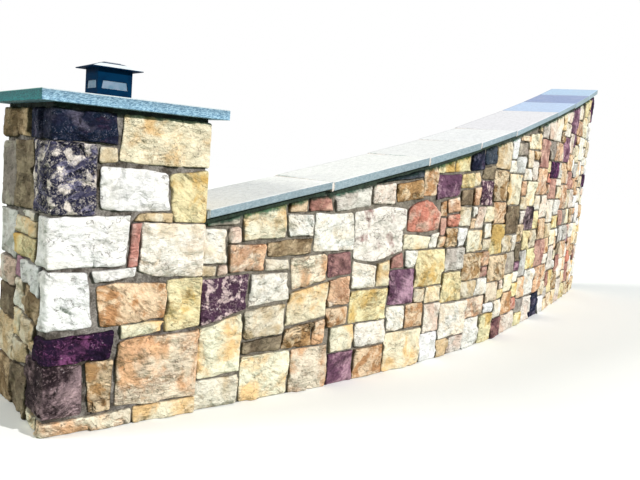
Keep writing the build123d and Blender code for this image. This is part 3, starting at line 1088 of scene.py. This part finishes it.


# Cap and coping: sawn bluestone slabs with rock-faced edges, bedded on the masonry. The tops
# are paler from weather and partly a painted sky sheen, and each slab has its own tint.
def bluestone_material():
    """Fine blue-grey sandstone, mottled, paler on top from weather and partly a painted sky sheen."""
    material, tree, shader, place = new_material("bluestone", 0.8)
    tint = add(tree, "Attribute", {"attribute_name": "tint"})
    cloud = clouds(tree, place, 5.0, 7.0, 0.62, 0.4)
    mottle = clouds(tree, place, 38.0, 7.0, 0.7)
    fine = clouds(tree, place, 150.0, 5.0, 0.7)
    top = mix(tree, fade(tree, cloud, 0.45, 0.75, 0.0, 0.22), tint.outputs["Color"],
              paint(206, 206, 212))
    tooled = add(tree, "VectorRotate", {"rotation_type": "Y_AXIS"}, Vector=place,
                 Angle=0.25).outputs[0]
    tooled = add(tree, "Mapping", Vector=tooled, Scale=(1.0, 1.0, 4.2)).outputs[0]
    tooling = clouds(tree, tooled, 66.0, 6.0, 0.72, 0.3)
    edge = mix(tree, fade(tree, tooling, 0.41, 0.59), (0.38, 0.50, 0.60, 1), (1.85, 1.60, 1.48, 1))
    edge = mix(tree, carried(tree, "grit"), (1, 1, 1, 1), edge)
    edge = mix(tree, 1.0, tint.outputs["Color"], edge, "MULTIPLY")
    colour = mix(tree, tint.outputs["Alpha"], edge, top)
    both = times(tree, fade(tree, mottle, 0.25, 0.75, 0.88, 1.12),
                 fade(tree, fine, 0.30, 0.70, 0.86, 1.12))
    tree.links.new(toned(tree, colour, both), shader.inputs["Base Color"])
    roughen(tree, shader, plus(tree, mottle, times(tree, fine, 0.25)), 0.5, 0.003)
    return material


bluestone = bluestone_material()


def clean_copy(node):
    """The CAD solid of a node as one closed mesh without inner lines on its flat faces."""
    bm = bmesh.new()
    bm.from_mesh(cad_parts[node].data)
    bmesh.ops.remove_doubles(bm, verts=bm.verts, dist=1e-5)
    bmesh.ops.dissolve_limit(bm, angle_limit=math.radians(1), verts=bm.verts, edges=bm.edges)
    return bm


def break_edges(bm, radius):
    """Rounds every sharp edge of a mesh a little."""
    sharp = [edge for edge in bm.edges if edge.calc_face_angle(0.0) > math.radians(25)]
    bmesh.ops.bevel(bm, geom=sharp, offset=radius, offset_type="OFFSET", segments=2,
                    profile=0.5, affect="EDGES", clamp_overlap=True, material=-1)


def slice_up(bm, direction, spacing):
    """Cuts a mesh into strips across a direction, so that it can be made uneven."""
    reach = [vert.co.dot(direction) for vert in bm.verts]
    count = max(1, round((max(reach) - min(reach)) / spacing))
    for step in range(1, count):
        level = min(reach) + (max(reach) - min(reach)) * step / count
        bmesh.ops.bisect_plane(bm, geom=bm.verts[:] + bm.edges[:] + bm.faces[:], dist=1e-6,
                               plane_co=direction * level, plane_no=direction)


slab_arris = 0.0035
layer_height = 0.012
shaded_side = (0.060, 0.385, 0.320)


def dress_slab(node, name, heading, top_tint, edge_tint, grit, spacing, top_limit, joint_ends=()):
    """A slab sawn on top, below and at its joints, with a rock-faced edge and worn arrises."""
    bm = clean_copy(node)
    break_edges(bm, slab_arris)
    along = Vector((math.cos(heading), math.sin(heading), 0.0))
    beside = Vector((-along.y, along.x, 0.0))
    for direction, step in ((along, spacing), (beside, spacing), (Vector((0, 0, 1)), layer_height)):
        slice_up(bm, direction, step)
    bmesh.ops.remove_doubles(bm, verts=bm.verts, dist=0.0003)
    bm.normal_update()
    layer = bm.verts.layers.float_color.new("tint")
    grit_layer = bm.verts.layers.float.new("grit")
    shifts = {}
    low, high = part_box(node)
    for vert in bm.verts:
        upward = vert.normal.z
        # Faces turned up take the pale top tint: weathering, partly a painted sky sheen
        weathered_and_sheen = upward > top_limit
        tint = top_tint
        if not weathered_and_sheen:
            tone = 1 + grit * (0.38 - 0.68 * (vert.co.z - low.z) / (high.z - low.z))
            tint = [value * tone for value in edge_tint[:3]]
        if any(vert.normal.dot(along) * end > 0.7 for end in joint_ends):
            tint = top_tint
        elif vert.normal.x < -0.5:
            tint = [value * share for value, share in zip(tint, shaded_side)]
        vert[layer] = (*tint[:3], 1.0 if weathered_and_sheen else 0.0)
        vert[grit_layer] = grit
        rough = 0.0005 if abs(upward) > 0.9 else 0.0016
        lumps = 0.55 + 0.6 * noise.noise(vert.co * 22) + 0.4 * noise.noise(vert.co * 75)
        shifts[vert] = -vert.normal * rough * max(0.0, lumps)
    for vert, shift in shifts.items():
        vert.co += shift
    finish_piece(bm, name, bluestone, "bluestone", node)


dress_slab("pier_cap", "cap_slab", 0.0, paint(196, 206, 210), paint(120, 158, 182),
           1.0, 0.015, 0.35)

# Tints of the slabs' tops, white near the pier and bluish further along: weathering, partly painted
# sky sheen and light
top_tints = [(253, 252, 249), (238, 238, 236), (232, 232, 232), (232, 232, 234),
             (224, 222, 227), (184, 202, 230), (142, 156, 193), (175, 199, 225)]
for index, tint in enumerate(top_tints):
    number = index + 1
    dress_slab(f"coping_slab_{number}", f"coping_stone_{number}", wall_headings[index],
               paint(*tint), paint(136, 155, 165), 0.35, 0.02, 0.8,
               (-1, 1) if number < bay_count else (-1,))


# Joints of the coping: pale pointing between the slabs, a little below their faces. The CAD
# strips have the right shape and take the finish. Against the pier the pointing is grey.
def pointing_material(name, dry, wet):
    """Pointing mortar with sand in it, a little patchy."""
    material, tree, shader, place = new_material(name, 0.95)
    sand = clouds(tree, place, 300.0, 5.0)
    colour = mix(tree, fade(tree, clouds(tree, place, 22.0, 4.0), 0.35, 0.65), dry, wet)
    colour = toned(tree, colour, fade(tree, sand, 0.3, 0.7, 0.85, 1.08))
    tree.links.new(colour, shader.inputs["Base Color"])
    roughen(tree, shader, sand, 0.6, 0.002)
    return material


pale_pointing = pointing_material("pointing", paint(240, 230, 224), paint(216, 204, 196))
grey_pointing = pointing_material("grey_pointing", paint(150, 158, 160), paint(124, 130, 130))
for index in range(bay_count):
    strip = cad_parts[f"coping_joint_{index + 1}"]
    strip.data.materials.clear()
    strip.data.materials.append(pale_pointing if index else grey_pointing)


# Pier light: a folded sheet-metal housing, painted black, with a low roof that overhangs it.
# The foot plate is screwed to the cap and the roof lifts off with the battery under it.
def housing_material():
    """Black stove paint, faintly blue, pale and dusty on the roof's slopes; the slopes facing left
    stay dark, a painted shade.
    """
    material, tree, shader, place = new_material("black_housing", 0.5)
    cloud = clouds(tree, place, 30.0, 6.0)
    facing = add(tree, "SeparateXYZ", Vector=add(tree, "NewGeometry").outputs["Normal"])
    upward = facing.outputs["Z"]
    slope = times(tree, fade(tree, upward, 0.6, 0.9), fade(tree, upward, 0.985, 0.995, 1.0, 0.0))
    roof_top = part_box("lamp_roof")[1].z
    below = fade(tree, add(tree, "SeparateXYZ", Vector=place).outputs["Z"],
                 roof_top - 0.0060, roof_top - 0.0045, 1.0, 0.0)
    dust_and_shade = times(tree, slope, fade(tree, cloud, 0.3, 0.7, 0.80, 1.0))
    dust_and_shade = times(tree, dust_and_shade, below)
    # Painted shade: the slopes facing left get little of the pale
    dust_and_shade = times(tree, dust_and_shade, fade(tree, facing.outputs["X"], -0.20, -0.08, 0.15, 1.0))
    paintwork = mix(tree, fade(tree, cloud, 0.35, 0.65), paint(0, 32, 60), paint(2, 42, 72))
    tree.links.new(mix(tree, dust_and_shade, paintwork, paint(232, 239, 243)), shader.inputs["Base Color"])
    tree.links.new(fade(tree, cloud, 0.3, 0.7, 0.55, 0.75), shader.inputs["Roughness"])
    shader.inputs["Specular IOR Level"].default_value = 0.015
    roughen(tree, shader, clouds(tree, place, 900.0, 3.0), 0.25, 0.0004)
    return material


black_paint = housing_material()
for node, name, radius in (("lamp_base", "light_foot", 0.0012), ("lamp_body", "light_housing", 0.0010),
                           ("lamp_roof", "light_roof", 0.0012)):
    bm = clean_copy(node)
    break_edges(bm, radius)
    finish_piece(bm, name, black_paint, "black_housing", node, smooth=False)


# Panes: frosted plastic with fine upright ribs, one behind each window, held in the housing
# by its folds.
def pane_material():
    """Milky ribbed plastic, blue-grey with the housing's dark inside behind it."""
    material, tree, shader, place = new_material("frosted_pane", 0.42)
    cloud = fade(tree, clouds(tree, place, 26.0, 4.0), 0.3, 0.7)
    tree.links.new(mix(tree, cloud, paint(86, 122, 144), paint(122, 140, 160)),
                   shader.inputs["Base Color"])
    shader.inputs["Subsurface Weight"].default_value = 0.15
    shader.inputs["Subsurface Radius"].default_value = (0.004, 0.004, 0.004)
    shader.inputs["Subsurface Scale"].default_value = 1.0
    return material


frosted = pane_material()
rib_pitch = 0.0036
rib_depth = 0.0006
for side in ("front", "right", "back", "left"):
    node = f"lamp_pane_{side}"
    bm = clean_copy(node)
    run = Vector((1, 0, 0)) if side in ("front", "back") else Vector((0, 1, 0))
    low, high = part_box(node)
    facing = Vector(((low.x + high.x) / 2, (low.y + high.y) / 2, 0.0)).normalized()
    slice_up(bm, run, rib_pitch / 4)
    bm.normal_update()
    outer = max(vert.co.dot(facing) for vert in bm.verts)
    for vert in bm.verts:
        if vert.co.dot(facing) > outer - 1e-5:
            phase = vert.co.dot(run) / rib_pitch * 2 * math.pi
            vert.co -= facing * rib_depth * (0.5 + 0.5 * math.cos(phase))
    finish_piece(bm, f"light_pane_{side}", frosted, "frosted_pane", node, smooth=False)


# Solar panel on the roof, with its cells and silver collector lines behind clear resin, and
# the battery and light unit that hangs under the roof.
def panel_material():
    """Dark blue cells between thin silver lines."""
    material, tree, shader, place = new_material("solar_panel", 0.18)
    cells = add(tree, "TexBrick", {"offset": 0.0}, Vector=place, Scale=1.0, Brick_Width=0.0260,
                Row_Height=0.0065, Mortar_Size=0.0004, Mortar_Smooth=0.1, Color1=paint(18, 26, 52),
                Color2=paint(26, 34, 66), Mortar=paint(150, 156, 166)).outputs["Color"]
    tree.links.new(cells, shader.inputs["Base Color"])
    shader.inputs["Coat Weight"].default_value = 0.6
    return material


bm = clean_copy("lamp_solar_panel")
break_edges(bm, 0.0008)
finish_piece(bm, "solar_panel", panel_material(), "solar_panel", "lamp_solar_panel", smooth=False)


def unit_material():
    """White plastic of the light unit, yellowed a little."""
    material, tree, shader, place = new_material("light_unit", 0.5)
    cloud = fade(tree, clouds(tree, place, 40.0, 3.0), 0.3, 0.7)
    tree.links.new(mix(tree, cloud, paint(214, 212, 204), paint(196, 192, 178)),
                   shader.inputs["Base Color"])
    return material


bm = clean_copy("lamp_light_unit")
break_edges(bm, 0.0015)
finish_piece(bm, "light_unit", unit_material(), "light_unit", "lamp_light_unit")


# Studio: a pale floor, a sun from the front right, a weak fill from the left and an even
# white surround.
def seen_share(tree):
    """1 for what the camera sees, straight, in a shiny surface or through a clear one."""
    rays = add(tree, "LightPath")
    shown = maths(tree, "MAXIMUM", rays.outputs["Is Camera Ray"],
                  rays.outputs["Is Transmission Ray"])
    return maths(tree, "MAXIMUM", shown, rays.outputs["Is Glossy Ray"])


def floor_material():
    """Pale, even floor that throws back a little dull green light."""
    material, tree, shader, place = new_material("floor", 0.95)
    pale = mix(tree, clouds(tree, place, 0.7, 3.0), paint(252, 252, 251), paint(255, 255, 254))
    tree.links.new(mix(tree, seen_share(tree), paint(88, 106, 78), pale),
                   shader.inputs["Base Color"])
    shader.inputs["Specular IOR Level"].default_value = 0.1
    return material


bm = bmesh.new()
bmesh.ops.create_grid(bm, x_segments=1, y_segments=1, size=40.0)
floor_mesh = bpy.data.meshes.new("floor")
bm.to_mesh(floor_mesh)
bm.free()
floor_mesh.materials.append(floor_material())
floor = bpy.data.objects.new("floor", floor_mesh)
bpy.context.scene.collection.objects.link(floor)

for name, energy, angle, colour, tip, turn in (
        ("sun", 3.80, 2, (1.0, 0.975, 0.95), 65, 25),
        ("fill", 1.7, 20, (1.0, 0.97, 0.88), 62, -106)):
    lamp_data = bpy.data.lights.new(name, "SUN")
    lamp_data.energy = energy
    lamp_data.angle = math.radians(angle)
    lamp_data.color = colour
    lamp = bpy.data.objects.new(name, lamp_data)
    lamp.rotation_euler = (math.radians(tip), 0.0, math.radians(turn))
    bpy.context.scene.collection.objects.link(lamp)

world = bpy.data.worlds.new("studio")
world.use_nodes = True
bpy.context.scene.world = world
sky = world.node_tree
surround = sky.nodes["Background"]
surround.inputs["Color"].default_value = (0.82, 0.93, 0.95, 1)
surround.inputs["Strength"].default_value = 0.42
seen = add(sky, "Background", Color=(1, 1, 1, 1), Strength=1.0)
either = add(sky, "MixShader", Fac=seen_share(sky))
sky.links.new(surround.outputs[0], either.inputs[1])
sky.links.new(seen.outputs[0], either.inputs[2])
sky.links.new(either.outputs[0], sky.nodes["World Output"].inputs["Surface"])
